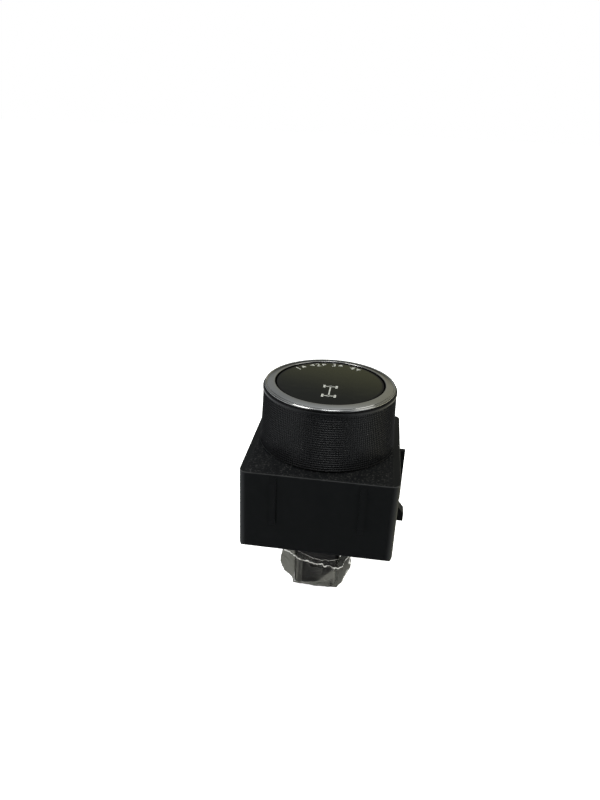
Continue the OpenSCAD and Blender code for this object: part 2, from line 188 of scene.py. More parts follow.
housingFinish = {
    "tone": (0.0036, 0.0044, 0.0050),
    "worn": (0.0120, 0.0122, 0.0130),
    "dust": (0.060, 0.061, 0.058),
    # painted highlight along the rounded top edge of the housing
    "paintedEdgeHighlight": (0.070, 0.072, 0.072),
    "wallRough": 0.45,
    "plateRough": 0.55,
    "grainSize": 0.42 * mm,
    "grainDepth": 0.20 * mm,
    "halfWidth": 29.3 * mm,
    "stripWidth": 2.6 * mm,  # the top plate is smooth along its sides
}


def housingBlack():
    look = housingFinish
    paint = Paint("housingBlack")
    across, along, height = paint.axes()
    onPlate = paint.between(height, plateTop - 0.30 * mm, plateTop - 0.06 * mm)
    fromSide = look["halfWidth"] - paint.size(across)
    grained = onPlate * paint.between(fromSide, look["stripWidth"] - 0.4 * mm, look["stripWidth"] + 0.2 * mm)
    pebbles = paint.cloud(look["grainSize"] * 1.6, 4.0, 0.7)
    pits = paint.cells(look["grainSize"] * 1.7)
    mottle = paint.cloud(5 * mm, 4.0, 0.6)
    dust = paint.between(paint.cloud(0.7 * mm, 2.0, 0.5), 0.56, 0.68)
    flow = paint.cloud(9 * mm, 2.0, 0.5, (1, 1, 0.35))
    tone = paint.blendColour(mottle * 0.5 * (0.35 + grained), look["tone"], look["worn"])
    tone = paint.blendColour(dust * grained * 0.9, tone, look["dust"])
    # painted highlight: a band along the rounded top edge is made lighter, standing in for the light that
    # edge catches
    edge = paint.between(height, plateTop - 0.55 * mm, plateTop - 0.30 * mm) * (1 - onPlate)
    tone = paint.blendColour(edge * (0.35 + 0.65 * mottle), tone, look["paintedEdgeHighlight"])
    rough = look["wallRough"] + (look["plateRough"] - look["wallRough"]) * grained + 0.12 * (mottle - 0.5)
    smooth = paint.bump(flow, 0.05 * mm, 0.25)
    normal = paint.bump((pebbles + pits * 0.5) * grained + pebbles * 0.05, look["grainDepth"], 0.9, smooth)
    return paint.finish(
        {"Base Color": tone, "Roughness": rough, "Normal": normal, "Coat Weight": 0.16 - 0.16 * grained},
        {"Specular IOR Level": 0.20, "Coat Roughness": 0.32},
    )


gripFinish = {
    "tone": (0.0030, 0.0033, 0.0041),
    "rubbed": (0.009, 0.0095, 0.011),
    "rough": 0.33,
}


def gripBlack():
    look = gripFinish
    paint = Paint("gripBlack")
    handling = paint.cloud(7 * mm, 4.0, 0.6)
    skin = paint.cloud(0.16 * mm, 2.0, 0.6)
    tone = paint.blendColour(handling * 0.45, look["tone"], look["rubbed"])
    rough = look["rough"] + 0.16 * (handling - 0.5) + 0.05 * (skin - 0.5)
    return paint.finish(
        {"Base Color": tone, "Roughness": rough, "Normal": paint.bump(skin, 0.02 * mm, 0.5)},
        {"Specular IOR Level": 0.45, "Sheen Weight": 0.04, "Sheen Roughness": 0.35},
    )


bezelFinish = {
    "tone": (0.80, 0.80, 0.79),
    "smeared": (0.70, 0.70, 0.68),
    "rough": 0.09,
    "smear": 0.10,
}


def bezelChrome():
    look = bezelFinish
    paint = Paint("bezelChrome")
    smear = paint.between(paint.cloud(4 * mm, 5.0, 0.65), 0.42, 0.72)
    haze = paint.cloud(0.5 * mm, 2.0, 0.5)
    rough = look["rough"] + look["smear"] * smear + 0.02 * haze
    tone = paint.blendColour(smear * 0.35, look["tone"], look["smeared"])
    ripple = paint.bump(paint.cloud(3 * mm, 1.0, 0.4), 0.02 * mm, 0.35)
    return paint.finish({"Base Color": tone, "Roughness": rough, "Normal": ripple}, {"Metallic": 1.0})


faceFinish = {
    # painted reflection: the face goes from this dark colour at the front to a lighter, olive colour at the
    # rear, where it would mirror a warm room behind
    "front": (0.0015, 0.0024, 0.0024),
    "rear": (0.0290, 0.0300, 0.0130),
    "smudge": (0.016, 0.017, 0.014),
    "rough": 0.10,
    "edgeTone": (0.004, 0.004, 0.004),
    "edgeFrom": 19.7 * mm,  # where the dark edge starts, from the knob's axis
}


def smokedFace():
    look = faceFinish
    paint = Paint("smokedFace")
    across, along, height = paint.axes()
    fromAxis = (across * across + (along - knobY) * (along - knobY)) ** 0.5
    rim = paint.between(fromAxis, look["edgeFrom"], look["edgeFrom"] + 0.4 * mm)
    smudge = paint.between(paint.cloud(6 * mm, 5.0, 0.65, (1, 2.2, 1)), 0.45, 0.75)
    fine = paint.cloud(0.3 * mm, 2.0, 0.5)
    # painted reflection: lighter and olive towards the rear of the face, darker at its front
    glow = paint.between(along - knobY + 0.25 * across + 3 * mm * (smudge - 0.5), -17 * mm, 21 * mm)
    tone = paint.blendColour(glow, look["front"], look["rear"])
    tone = paint.blendColour(smudge * 0.25, tone, look["smudge"])
    tone = paint.blendColour(rim, tone, look["edgeTone"])
    rough = look["rough"] + 0.10 * smudge + 0.02 * fine
    return paint.finish(
        {"Base Color": tone, "Roughness": rough, "Normal": paint.bump(fine, 0.004 * mm, 0.3)},
        {"Specular IOR Level": 0.22},
    )


inkFinish = {
    "full": (0.62, 0.63, 0.58),
    "thin": (0.44, 0.45, 0.41),
    "rough": 0.35,
}


def legendInk():
    look = inkFinish
    paint = Paint("legendInk")
    screen = paint.cloud(0.25 * mm, 2.0, 0.6)
    tone = paint.blendColour(screen * 0.5, look["full"], look["thin"])
    return paint.finish(
        {"Base Color": tone, "Roughness": look["rough"] + 0.2 * screen}, {"Specular IOR Level": 0.4}
    )


def mouldedPlastic(name, tone, rough=0.5, grain=0.25 * mm):
    # small moulded pieces: a fine mould grain and a slow change of tone
    paint = Paint(name)
    slow = paint.cloud(4 * mm, 3.0, 0.6)
    fine = paint.cloud(grain, 3.0, 0.6)
    lighter = tuple(min(1.0, part * 1.45 + 0.004) for part in tone)
    shade = paint.blendColour(slow * 0.5, tone, lighter)
    return paint.finish(
        {
            "Base Color": shade,
            "Roughness": rough + 0.14 * (slow - 0.5) + 0.06 * (fine - 0.5),
            "Normal": paint.bump(fine, 0.02 * mm, 0.6),
        },
        {"Specular IOR Level": 0.45},
    )


boardFinish = {
    "mask": (0.012, 0.085, 0.032),
    "track": (0.030, 0.16, 0.060),
    "trackPitch": 0.7 * mm,
    "rough": 0.34,
}


def boardGreen():
    # solder mask over fine tracks, which stop and start again
    look = boardFinish
    paint = Paint("boardGreen")
    across, along, height = paint.axes()
    slanted = {0: across + along * 0.5, 1: look["trackPitch"]}
    tracks = paint.node("ShaderNodeMath", {"operation": "PINGPONG"}, slanted)
    lines = paint.between(tracks, 0.28 * mm, 0.36 * mm)
    broken = lines * paint.between(paint.cloud(6 * mm, 1.0, 0.4), 0.46, 0.54)
    weave = paint.cells(0.45 * mm)
    tone = paint.blendColour(broken, look["mask"], look["track"])
    rough = look["rough"] + 0.1 * weave
    raised = paint.bump(broken, 0.03 * mm, 0.6)
    return paint.finish({"Base Color": tone, "Roughness": rough, "Normal": raised})


def brightMetal(name, tone, rough, streak=(1, 1, 9)):
    paint = Paint(name)
    drawn = paint.cloud(0.5 * mm, 3.0, 0.6, streak)
    dull = paint.cloud(2.5 * mm, 3.0, 0.6)
    shade = paint.blendColour(dull * 0.5, tone, tuple(part * 0.72 for part in tone))
    return paint.finish(
        {
            "Base Color": shade,
            "Roughness": rough + 0.18 * (drawn - 0.5),
            "Normal": paint.bump(drawn, 0.01 * mm, 0.4),
        },
        {"Metallic": 1.0},
    )


def lampCap():
    paint = Paint("lampCap")
    speckle = paint.cells(0.18 * mm)
    tone = paint.blendColour(speckle, (0.78, 0.70, 0.32), (0.86, 0.80, 0.52))
    return paint.finish({"Base Color": tone, "Roughness": 0.25 + 0.1 * speckle}, {"Coat Weight": 0.4})


filmFinish = {
    "bright": (0.54, 0.54, 0.48),
    "shaded": (0.016, 0.017, 0.014),
    "crease": (0.92, 0.92, 0.88),
    "rough": 0.20,
}


def wrappingFilm():
    # clear where it lies flat, milky where it lies double, white along its creases and its hem
    look = filmFinish
    paint = Paint("wrappingFilm")
    crease, milk, shade = (
        paint.node("ShaderNodeAttribute", {"attribute_name": name}, output=2)
        for name in ("crease", "milk", "shade")
    )
    small = paint.cloud(0.8 * mm, 3.0, 0.6, (1, 1, 0.6))
    white = paint.between(crease + 0.25 * (small - 0.5), 0.16, 0.85)
    # darker where the shade attribute is high: greyer where the film lies double, and painted shade inside
    # the right-hand fold
    tone = paint.blendColour(shade + 0.08 * (small - 0.5), look["bright"], look["shaded"])
    tone = paint.blendColour(white, tone, look["crease"])
    alpha = 0.012 + milk * (0.90 + 0.2 * small) + 0.85 * white
    return paint.finish(
        {
            "Base Color": tone,
            "Alpha": paint.node("ShaderNodeClamp", sockets={"Value": alpha}),
            "Roughness": look["rough"] + 0.2 * white,
            "Normal": paint.bump(small, 0.10 * mm, 0.6),
        },
        {"Specular IOR Level": 0.34},
    )


def dress(piece, material):
    piece.data.materials.clear()
    piece.data.materials.append(material)


# what each part of the frame is finished in
finishes = {
    housingBlack(): ["front_housing"],
    mouldedPlastic("coverBlack", (0.013, 0.013, 0.014), 0.5): ["base_cover"],
    mouldedPlastic("connectorBlack", (0.014, 0.014, 0.0145), 0.46, 0.35 * mm): ["connector_shroud"],
    mouldedPlastic("carrierBlack", (0.009, 0.009, 0.0095), 0.5): ["knob_carrier"],
    mouldedPlastic("tubeBlack", (0.010, 0.010, 0.0105), 0.6): ["display_tube"],
    mouldedPlastic("naturalAcetal", (0.66, 0.64, 0.56), 0.36): [
        "gear_ring",
        "encoder_pinion",
        "sensor_holder",
    ],
    mouldedPlastic("glideWhite", (0.72, 0.72, 0.68), 0.4): ["glide_ring"],
    mouldedPlastic("diffuserMilk", (0.80, 0.80, 0.79), 0.55): ["diffuser_disc"],
    mouldedPlastic("lightBoxWhite", (0.78, 0.78, 0.76), 0.6): ["light_box"],
    mouldedPlastic("flexAmber", (0.46, 0.21, 0.045), 0.35): ["flex_tail"],
    mouldedPlastic("socketCream", (0.66, 0.62, 0.50), 0.55): ["flex_sockets"],
    mouldedPlastic("chipPackage", (0.018, 0.018, 0.018), 0.55, 0.12 * mm): [
        "control_chip",
        "rotation_sensor",
        "resistors",
    ],
    boardGreen(): ["main_board", "display_board"],
    lampCap(): ["display_leds"],
    brightMetal("capacitorCan", (0.72, 0.72, 0.74), 0.3): ["capacitors"],
    brightMetal("magnetGrey", (0.20, 0.20, 0.21), 0.45, (1, 1, 1)): ["sensor_magnet"],
    brightMetal("springSteel", (0.60, 0.61, 0.63), 0.26): [
        "pinion_axle",
        "detent_springs",
        "housing_screws",
        "tube_screws",
    ],
    brightMetal("tinnedPin", (0.66, 0.64, 0.58), 0.32): ["terminal_pins"],
}
for material, names in finishes.items():
    for name in names:
        dress(cadNodes[name], material)
print("materials on", sum(len(names) for names in finishes.values()), "parts of the frame")


def startClean():
    if bpy.context.mode != "OBJECT":
        bpy.ops.object.mode_set(mode="OBJECT")
    bpy.ops.object.select_all(action="DESELECT")


def settle(piece, name, smoothUnder=None):
    # finished: doubles merged, faces outwards, the place in the mesh
    startClean()
    piece.select_set(True)
    bpy.context.view_layer.objects.active = piece
    bpy.ops.object.transform_apply(location=True, rotation=True, scale=True)
    bpy.ops.object.mode_set(mode="EDIT")
    bpy.ops.mesh.select_all(action="SELECT")
    bpy.ops.mesh.remove_doubles(threshold=0.0005 * mm)
    bpy.ops.mesh.normals_make_consistent(inside=False)
    bpy.ops.object.mode_set(mode="OBJECT")
    if smoothUnder:
        bpy.ops.object.shade_smooth_by_angle(angle=math.radians(smoothUnder))
    piece.name = piece.data.name = name
    piece.select_set(False)
    return piece


def turned(profile, segments):
    # raises a ring from a circle, one level of its profile after another, and stays in edit mode
    startClean()
    radius, height = profile[0]
    bpy.ops.mesh.primitive_circle_add(vertices=segments, radius=radius, location=(knobX, knobY, height))
    piece = bpy.context.object
    bpy.ops.object.mode_set(mode="EDIT")
    bpy.ops.mesh.select_mode(type="VERT")
    bpy.ops.mesh.select_all(action="SELECT")
    for nextRadius, nextHeight in profile[1:]:
        bpy.ops.mesh.extrude_region_move(TRANSFORM_OT_translate={"value": (0, 0, nextHeight - height)})
        share = nextRadius / radius
        bpy.ops.transform.resize(value=(share, share, 1), center_override=(knobX, knobY, nextHeight))
        radius, height = nextRadius, nextHeight
    return piece


def pickFaces(piece, wanted):
    # selects the faces whose middle the test wants, in edit mode
    bpy.ops.mesh.select_mode(type="FACE")
    bpy.ops.mesh.select_all(action="DESELECT")
    shape = bmesh.from_edit_mesh(piece.data)
    here = piece.matrix_world
    for face in shape.faces:
        face.select = wanted(here @ face.calc_center_median(), face.normal)
    shape.select_flush_mode()
    bmesh.update_edit_mesh(piece.data)


def arc(middle, radius, start, end, steps):
    # points of a profile round a corner, angles in degrees from outwards towards up
    return [
        (
            middle[0] + radius * math.cos(math.radians(start + (end - start) * step / steps)),
            middle[1] + radius * math.sin(math.radians(start + (end - start) * step / steps)),
        )
        for step in range(steps + 1)
    ]


# the knurled grip
gripShape = {
    "bore": 22.8 * mm,
    "columns": 186,
    "rows": 24,
    "flarePower": 2.2,
    "flareShare": 0.55,  # of the difference between foot and top
    "padInset": 0.13 * mm,
    "padHeight": 0.18 * mm,
    "crownInset": 0.06 * mm,
    "crownHeight": 0.03 * mm,
    "footBand": 0.55 * mm,  # plain band above the plate
    "topBand": 1.35 * mm,  # plain band under the bezel
    "topLip": 0.45 * mm,
    "proud": 0.66 * mm,  # how far its top stands out past the bezel
}


def gripRadius(share, foot, top):
    # the grip widens slowly downwards and flares at its foot
    flare = (1 - share) ** gripShape["flarePower"]
    slope = (1 - gripShape["flareShare"]) * (1 - share)
    return top + (foot - top) * (slope + gripShape["flareShare"] * flare)


def makeGrip():
    low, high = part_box("grip_ring")
    inner = gripShape["bore"]
    bezelLow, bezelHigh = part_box("bezel_ring")
    footRadius, bezelRadius = (high.x - low.x) / 2, (bezelHigh.x - bezelLow.x) / 2
    topRadius = bezelRadius + gripShape["proud"]
    bandLow, bandHigh = low.z + gripShape["footBand"], high.z - gripShape["topBand"]
    depth = gripShape["padHeight"] + gripShape["crownHeight"]
    profile = [
        (inner, low.z),
        (footRadius - depth - 0.30 * mm, low.z),
        (footRadius - depth - 0.05 * mm, low.z + 0.20 * mm),
        (footRadius - depth, bandLow),
    ]
    for row in range(1, gripShape["rows"] + 1):
        share = row / gripShape["rows"]
        level = bandLow + share * (bandHigh - bandLow)
        profile.append((gripRadius(share, footRadius, topRadius) - depth, level))
    lip, lipTop = topRadius - 0.06 * mm, high.z - gripShape["topLip"]
    profile += [
        (lip, bandHigh + 0.16 * mm),
        (lip, lipTop),
        (lip - 0.20 * mm, lipTop + 0.1 * mm),
        (bezelRadius - 0.10 * mm, lipTop + 0.12 * mm),
        (bezelRadius - 0.15 * mm, high.z),
        (inner, high.z),
        (inner, low.z),
    ]
    grip = turned(profile, gripShape["columns"])
    pickFaces(
        grip,
        lambda middle, normal: bandLow < middle.z < bandHigh
        and math.hypot(middle.x - knobX, middle.y - knobY) > topRadius - 1.2 * mm,
    )
    for part in ("pad", "crown"):
        bpy.ops.mesh.inset(
            thickness=gripShape[part + "Inset"],
            depth=gripShape[part + "Height"],
            use_individual=True,
            use_even_offset=True,
        )
    return settle(grip, "gripSleeve", 24)


grip = makeGrip()
dress(grip, gripBlack())
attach(grip, "knob")
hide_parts("grip_ring")
print("grip:", len(grip.data.polygons), "faces")


# the bright bezel
bezelShape = {
    "segments": 256,
    "opening": 21.3 * mm,  # radius
    "bead": 0.46 * mm,
    "beadDrop": 0.92 * mm,
    # from the groove inside the bead to the inner edge: how far in and how far down, in millimetres
    "slope": [
        (0.84, 0.62),
        (0.92, 0.66),
        (1.02, 0.62),
        (1.10, 0.46),
        (1.30, 0.39),
        (1.90, 0.27),
        (2.50, 0.15),
        (3.10, 0.05),
        (3.50, 0.01),
    ],
    "innerEdge": 0.22 * mm,
}


def makeBezel():
    low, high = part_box("bezel_ring")
    outer, top, foot = (high.x - low.x) / 2, high.z, low.z
    hole, edge = bezelShape["opening"], bezelShape["innerEdge"]
    bead = (outer - bezelShape["bead"], top - bezelShape["beadDrop"])
    profile = [(hole, foot), (outer - 0.55 * mm, foot), (outer - 0.35 * mm, foot + 0.06 * mm)]
    profile += arc(bead, bezelShape["bead"], -40, 128, 16)
    profile += [(outer - inwards * mm, top - down * mm) for inwards, down in bezelShape["slope"]]
    profile += arc((hole + edge, top - edge), edge, 80, 180, 7)
    profile += [(hole, foot)]
    return settle(turned(profile, bezelShape["segments"]), "bezelTrim", 40)


bezel = makeBezel()
dress(bezel, bezelChrome())
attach(bezel, "knob")
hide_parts("bezel_ring")
print("bezel:", len(bezel.data.polygons), "faces")


# the display face
faceShape = {
    "segments": 192,
    "edge": 0.28 * mm,
    "edgeSteps": 5,
    "borderWidth": 0.5 * mm,
    "stepWidth": 0.35 * mm,
    "stepRise": 0.006 * mm,
}


def makeFace():
    radius = (lensHigh.x - lensLow.x) / 2
    thick = lensHigh.z - lensLow.z
    startClean()
    bpy.ops.mesh.primitive_cylinder_add(
        vertices=faceShape["segments"], radius=radius, depth=thick, location=knobMiddle
    )
    face = bpy.context.object
    bpy.ops.object.mode_set(mode="EDIT")
    pickFaces(face, lambda middle, normal: normal.z > 0.9)
    bpy.ops.mesh.bevel(offset=faceShape["edge"], segments=faceShape["edgeSteps"], affect="EDGES")
    pickFaces(face, lambda middle, normal: normal.z > 0.999 and middle.z > lensHigh.z - 0.01 * mm)
    bpy.ops.mesh.inset(thickness=faceShape["borderWidth"], depth=0.0)
    bpy.ops.mesh.inset(thickness=faceShape["stepWidth"], depth=faceShape["stepRise"])
    return settle(face, "displayFace", 30)


face = makeFace()
dress(face, smokedFace())
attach(face, "body")
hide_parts("face_lens")
print("face:", len(face.data.polygons), "faces")


# the legends, printed on the face
legendShape = {
    "height": 2.95 * mm,
    "letterSize": 1.38,  # of the font, for figures of that height
    "figureShift": -1.35 * mm,  # of a figure with its mark on the right
    "markRounding": 0.16,
    "thick": 0.03 * mm,
    "sunk": 0.012 * mm,
    "ring": 18.0 * mm,
    "stepAngle": 25.0,
    "firstAngle": -46.0,  # clockwise from the rear
    "markSize": 1.15 * mm,
}
faceTop = lensHigh.z + faceShape["stepRise"]
printLevel = faceTop + legendShape["thick"] / 2 - legendShape["sunk"]


def makeNumeral(figure, size):
    startClean()
    bpy.ops.object.text_add(location=(0, 0, 0))
    words = bpy.context.object
    words.data.body = figure
    words.data.size = size * legendShape["letterSize"]
    words.data.align_x, words.data.align_y = "CENTER", "CENTER"
    words.data.extrude = legendShape["thick"] / 2
    bpy.ops.object.convert(target="MESH")
    return bpy.context.object


def makeMark(pointsTo, size):
    # small arrowhead, turned so that it points up, down, left or right
    startClean()
    turns = {"up": 90, "left": 180, "down": 270, "right": 0}
    bpy.ops.mesh.primitive_cylinder_add(vertices=3, radius=size, depth=legendShape["thick"])
    mark = bpy.context.object
    mark.rotation_euler = (0, 0, math.radians(turns[pointsTo] - 90))
    bpy.ops.object.transform_apply(rotation=True)
    bpy.ops.object.mode_set(mode="EDIT")
    pickFaces(mark, lambda middle, normal: abs(normal.z) < 0.5)
    bpy.ops.mesh.bevel(offset=size * legendShape["markRounding"], segments=2, affect="EDGES")
    bpy.ops.object.mode_set(mode="OBJECT")
    return mark


def joinAs(parts, name, matrix):
    # makes one piece of several, and puts it in its place
    startClean()
    for part in parts:
        part.select_set(True)
    bpy.context.view_layer.objects.active = parts[0]
    bpy.ops.object.transform_apply(location=True, rotation=True, scale=True)
    bpy.ops.object.join()
    joined = bpy.context.object
    joined.matrix_world = matrix
    return settle(joined, name)


# each figure, and its marks: how far to the right in millimetres, and which way they point
legendSigns = [
    ("1", [(1.25, "up")]),
    ("2", [(-2.35, "left"), (2.35, "right")]),
    ("3", [(1.35, "up")]),
    ("4", [(1.35, "down")]),
]
ink = legendInk()
for index, (figure, marks) in enumerate(legendSigns):
    numeral = makeNumeral(figure, legendShape["height"])
    numeral.location.x = legendShape["figureShift"] if len(marks) == 1 else 0
    parts = [numeral]
    for place, pointsTo in marks:
        mark = makeMark(pointsTo, legendShape["markSize"])
        mark.location.x = place * mm
        parts.append(mark)
    angle = math.radians(legendShape["firstAngle"] + index * legendShape["stepAngle"])
    spot = Vector(
        (
            knobX + legendShape["ring"] * math.sin(angle),
            knobY + legendShape["ring"] * math.cos(angle),
            printLevel,
        )
    )
    legend = joinAs(parts, "legend" + figure, Matrix.Translation(spot) @ Matrix.Rotation(-angle, 4, "Z"))
    dress(legend, ink)
    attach(legend, "body")

# the drive symbol: a shaft between two axles, with a wheel at each end
symbolShape = {
    "front": 4.3 * mm,  # from the symbol's middle to each axle
    "track": 2.3 * mm,
    "wheel": (0.85 * mm, 2.5 * mm),
    "gearbox": (1.3 * mm, 1.5 * mm),
    "bar": 0.50 * mm,
    "middleX": 0.5 * mm,
    "middleY": -8.7 * mm,  # from the knob's axis
}


def makeBar(width, length, x, y, rounding=0.2):
    # flat bar with round corners
    startClean()
    bpy.ops.mesh.primitive_cube_add(size=1, location=(x, y, 0))
    bar = bpy.context.object
    bar.scale = (width, length, legendShape["thick"])
    bpy.ops.object.transform_apply(location=False, scale=True)
    bpy.ops.object.mode_set(mode="EDIT")
    bpy.ops.mesh.select_all(action="DESELECT")
    bpy.ops.mesh.select_mode(type="EDGE")
    shape = bmesh.from_edit_mesh(bar.data)
    for edge in shape.edges:
        edge.select = abs(edge.verts[0].co.z - edge.verts[1].co.z) > legendShape["thick"] / 2
    bmesh.update_edit_mesh(bar.data)
    bpy.ops.mesh.bevel(offset=min(width, length) * rounding, segments=3, affect="EDGES")
    bpy.ops.object.mode_set(mode="OBJECT")
    return bar


def makeDriveSymbol():
    reach, track, bar = symbolShape["front"], symbolShape["track"], symbolShape["bar"]
    wheelWide, wheelLong = symbolShape["wheel"]
    parts = [makeBar(bar, 2 * reach, 0, 0)]
    for end in (-1, 1):
        parts.append(makeBar(2 * track, bar, 0, end * reach))
        parts.append(makeBar(*symbolShape["gearbox"], 0, end * reach, 0.42))
        for side in (-1, 1):
            parts.append(makeBar(wheelWide, wheelLong, side * track, end * reach, 0.3))
    spot = Vector((knobX + symbolShape["middleX"], knobY + symbolShape["middleY"], printLevel))
    return joinAs(parts, "driveSymbol", Matrix.Translation(spot))


symbol = makeDriveSymbol()
dress(symbol, ink)
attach(symbol, "body")
print("legends and symbol printed")


# the clear film round the socket
filmShape = {
    # lengths in millimetres
    "columns": 320,
    "levels": 64,
    "foot": 0.25,
    "top": 17.5,
    "middleY": -1,
    "gap": 0.45,  # clear of the socket's walls
    # how far the folded corners reach sideways at each height
    "rightCorner": [
        (0.2, 9.5),
        (0.9, 10.5),
        (2.2, 11.2),
        (4.0, 11.6),
        (6.4, 12.6),
        (9.7, 13.9),
        (12.4, 14.2),
        (17, 13.6),
    ],
    "leftCorner": [
        (0.2, 9.5),
        (1.4, 9.6),
        (2.6, 10.4),
        (3.4, 11.7),
        (4.8, 13.1),
        (6.6, 14.2),
        (9.4, 14.9),
        (12.2, 14.7),
        (17, 13.9),
    ],
    # the height of the white crumpled line across the front, and of the free edge above it
    "crumpled": [
        (-11, 15.8),
        (-7.6, 13.4),
        (-4.7, 12.7),
        (-1.3, 12.1),
        (1.6, 11.8),
        (5.7, 11.0),
        (8.7, 10.3),
        (10.6, 11.3),
        (11.7, 14.0),
        (13.2, 15.8),
    ],
    "edge": [
        (-9, 17.5),
        (-5.6, 16.1),
        (-1.4, 14.7),
        (1.5, 14.1),
        (5.6, 14.1),
        (8.4, 14.6),
        (9.5, 16.2),
        (11, 17.5),
    ],
    "crumple": 0.42,
    "lineWidth": 0.30,
    "seed": 7,
    "thick": 0.05,
}


def follow(points, at):
    # straight from point to point
    if at <= points[0][0]:
        return points[0][1]
    for (first, low), (second, high) in zip(points, points[1:]):
        if at <= second:
            return low + (high - low) * (at - first) / (second - first)
    return points[-1][1]


def rise(value, low, high):
    share = min(1.0, max(0.0, (value - low) / (high - low)))
    return share * share * (3 - 2 * share)


def filmPlan(share, height):
    # the sleeve's outline from above, clockwise from the middle of the back
    # its spare width is folded at the front corners
    gap = filmShape["gap"]
    right, left = (follow(filmShape[corner], height) for corner in ("rightCorner", "leftCorner"))
    side, back = 9 + gap, 12 + gap
    corners = [
        (0.00, (0, back)),
        (0.06, (side - 0.8, back)),
        (0.08, (side, back - 0.8)),
        (0.20, (side, -6)),
        (0.29, (right, -13.1)),
        (0.34, (side - 0.3, -15.1)),
        (0.50, (0, -15.7)),
        (0.66, (-side + 0.3, -15.1)),
        (0.71, (-left, -13.3)),
        (0.80, (-side, -6)),
        (0.92, (-side, back - 0.8)),
        (0.94, (-side + 0.8, back)),
        (1.00, (0, back)),
    ]
    return [follow([(at, place[axis]) for at, place in corners], share) for axis in (0, 1)]


def ridges(point, size, seed):
    # sharp creases between soft facets, from 0 to 1
    value = noise.noise(point / size + Vector((seed, seed * 1.7, 0)))
    return (1 - min(1.0, abs(value) * 3.2)) ** 3


def wrinkle(share, level):
    # where a point of the sleeve comes to lie, in millimetres, and how strong each kind of wrinkle is there
    front = rise(0.225 - abs(share - 0.5), 0, 0.03)
    x, _ = filmPlan(share, level * filmShape["top"])
    free = filmShape["top"] + (follow(filmShape["edge"], x) - filmShape["top"]) * front
    height = filmShape["foot"] + level * (free - filmShape["foot"])
    x, y = filmPlan(share, height)
    spot = Vector((x, y, height * 0.75)) * 0.25
    big = ridges(spot, 0.9, filmShape["seed"])
    fine = ridges(spot, 0.38, filmShape["seed"] + 3)
    swell = 0.5 + 0.5 * noise.noise(spot * 0.9 + Vector((3, 1, 5)))
    wobble = 1.1 * noise.noise(spot * 1.9 + Vector((1, 9, 2))) + 0.7 * noise.noise(spot * 4.2)
    fromLine = height - follow(filmShape["crumpled"], x) + wobble
    uneven = 0.45 + 0.55 * swell + 0.3 * fine
    line = front * math.exp(-((fromLine / filmShape["lineWidth"]) ** 2)) * uneven
    return {
        "x": x,
        "y": y,
        "height": height,
        "free": free,
        "front": front,
        "big": big,
        "fine": fine,
        "swell": swell,
        "wobble": wobble,
        "fromLine": fromLine,
        "line": line,
    }


def pushedOut(at):
    # the wrinkles push a point away from the socket, less so near the foot, which hugs it
    x, y, height = at["x"], at["y"], at["height"]
    uneven = 0.15 + 0.5 * at["big"] + 0.25 * at["fine"] + 0.3 * at["swell"]
    out = filmShape["crumple"] * uneven + 0.35 * at["line"]
    hug = rise(height, 0, 1.5)
    fromMiddle = y - filmShape["middleY"]
    size = math.hypot(x, fromMiddle)
    pushed = (x + x / size * out * hug, y + fromMiddle / size * out * hug, height + 0.2 * at["wobble"])
    return Vector(pushed) * mm


def filmLooks(share, at):
    # what lies double or bunched looks milky and greyer, the right-hand fold is painted dark as shade inside
    # it, and it is crinkled at its tip
    x, height, fromLine = at["x"], at["height"], at["fromLine"]
    big, fine, swell = at["big"], at["fine"], at["swell"]
    onFront = 1 if abs(share - 0.5) < 0.16 else 0
    corner = rise(9.75 - abs(x), 0, 0.5)
    band = rise(1.5 + 2.0 * rise(x, -7, 5) - height, 0, 0.7)
    wedge = rise(x - (6.6 - (9.8 - height) * 0.92), 0, 1.6) * rise(fromLine, 0.4, -0.6)
    tuck = 1 - 0.7 * rise(1.0 - abs(x - 6.7), 0, 0.8) * rise(5.5 - height, 0, 2)
    strip = (0.10 + 0.06 * math.sin(x * 2.1)) * rise(-x, 5.2, 6.6) * rise(fromLine, 0.3, -0.3)
    leftFold, rightFold = rise(share, 0.648, 0.659), rise(share, 0.352, 0.341)
    tip = math.exp(-(((share - 0.29) / 0.014) ** 2))
    flat = onFront * corner * (max(0.80 * band, 0.20 * wedge) * tuck + strip)
    sides = 0.98 * leftFold * rise(0.83 - share, 0, 0.02) + 0.97 * rightFold * rise(share, 0.205, 0.215)
    # the back is plain, but for its wrinkles
    rear = rise(0.20 - min(share, 1 - share), 0, 0.015)
    veil = rear * (0.07 + 0.30 * big + 0.12 * fine + 0.10 * swell)
    milk = flat + sides + veil + 0.03 * big
    dull = 0.35 + 0.42 * rise(abs(x), 7.4, 8.4)
    dull += (0.83 - dull) * onFront * band * (1 - rightFold)
    dull += (0.76 + 0.03 * swell - dull) * leftFold
    # painted shade: the right-hand fold is made nearly black, darkest above the crumpled line, standing in
    # for the shade inside it
    dull += (0.93 + 0.07 * rise(fromLine, 0.0, 0.8) - 0.05 * tip - 0.05 * swell - dull) * rightFold
    lip = 0.50 * at["front"] * (1 - rightFold) * math.exp(-(((at["free"] - height) / 0.35) ** 2))
    crease = 0.95 * at["line"] + onFront * (0.08 * big ** 2 + 0.03 * fine)
    crease += rightFold * tip * (0.22 + 0.8 * big + 0.6 * fine)
    crease += rear * (0.34 * big ** 2 + 0.10 * fine) + lip
    return min(1.0, crease), min(1.0, milk), min(1.0, dull)


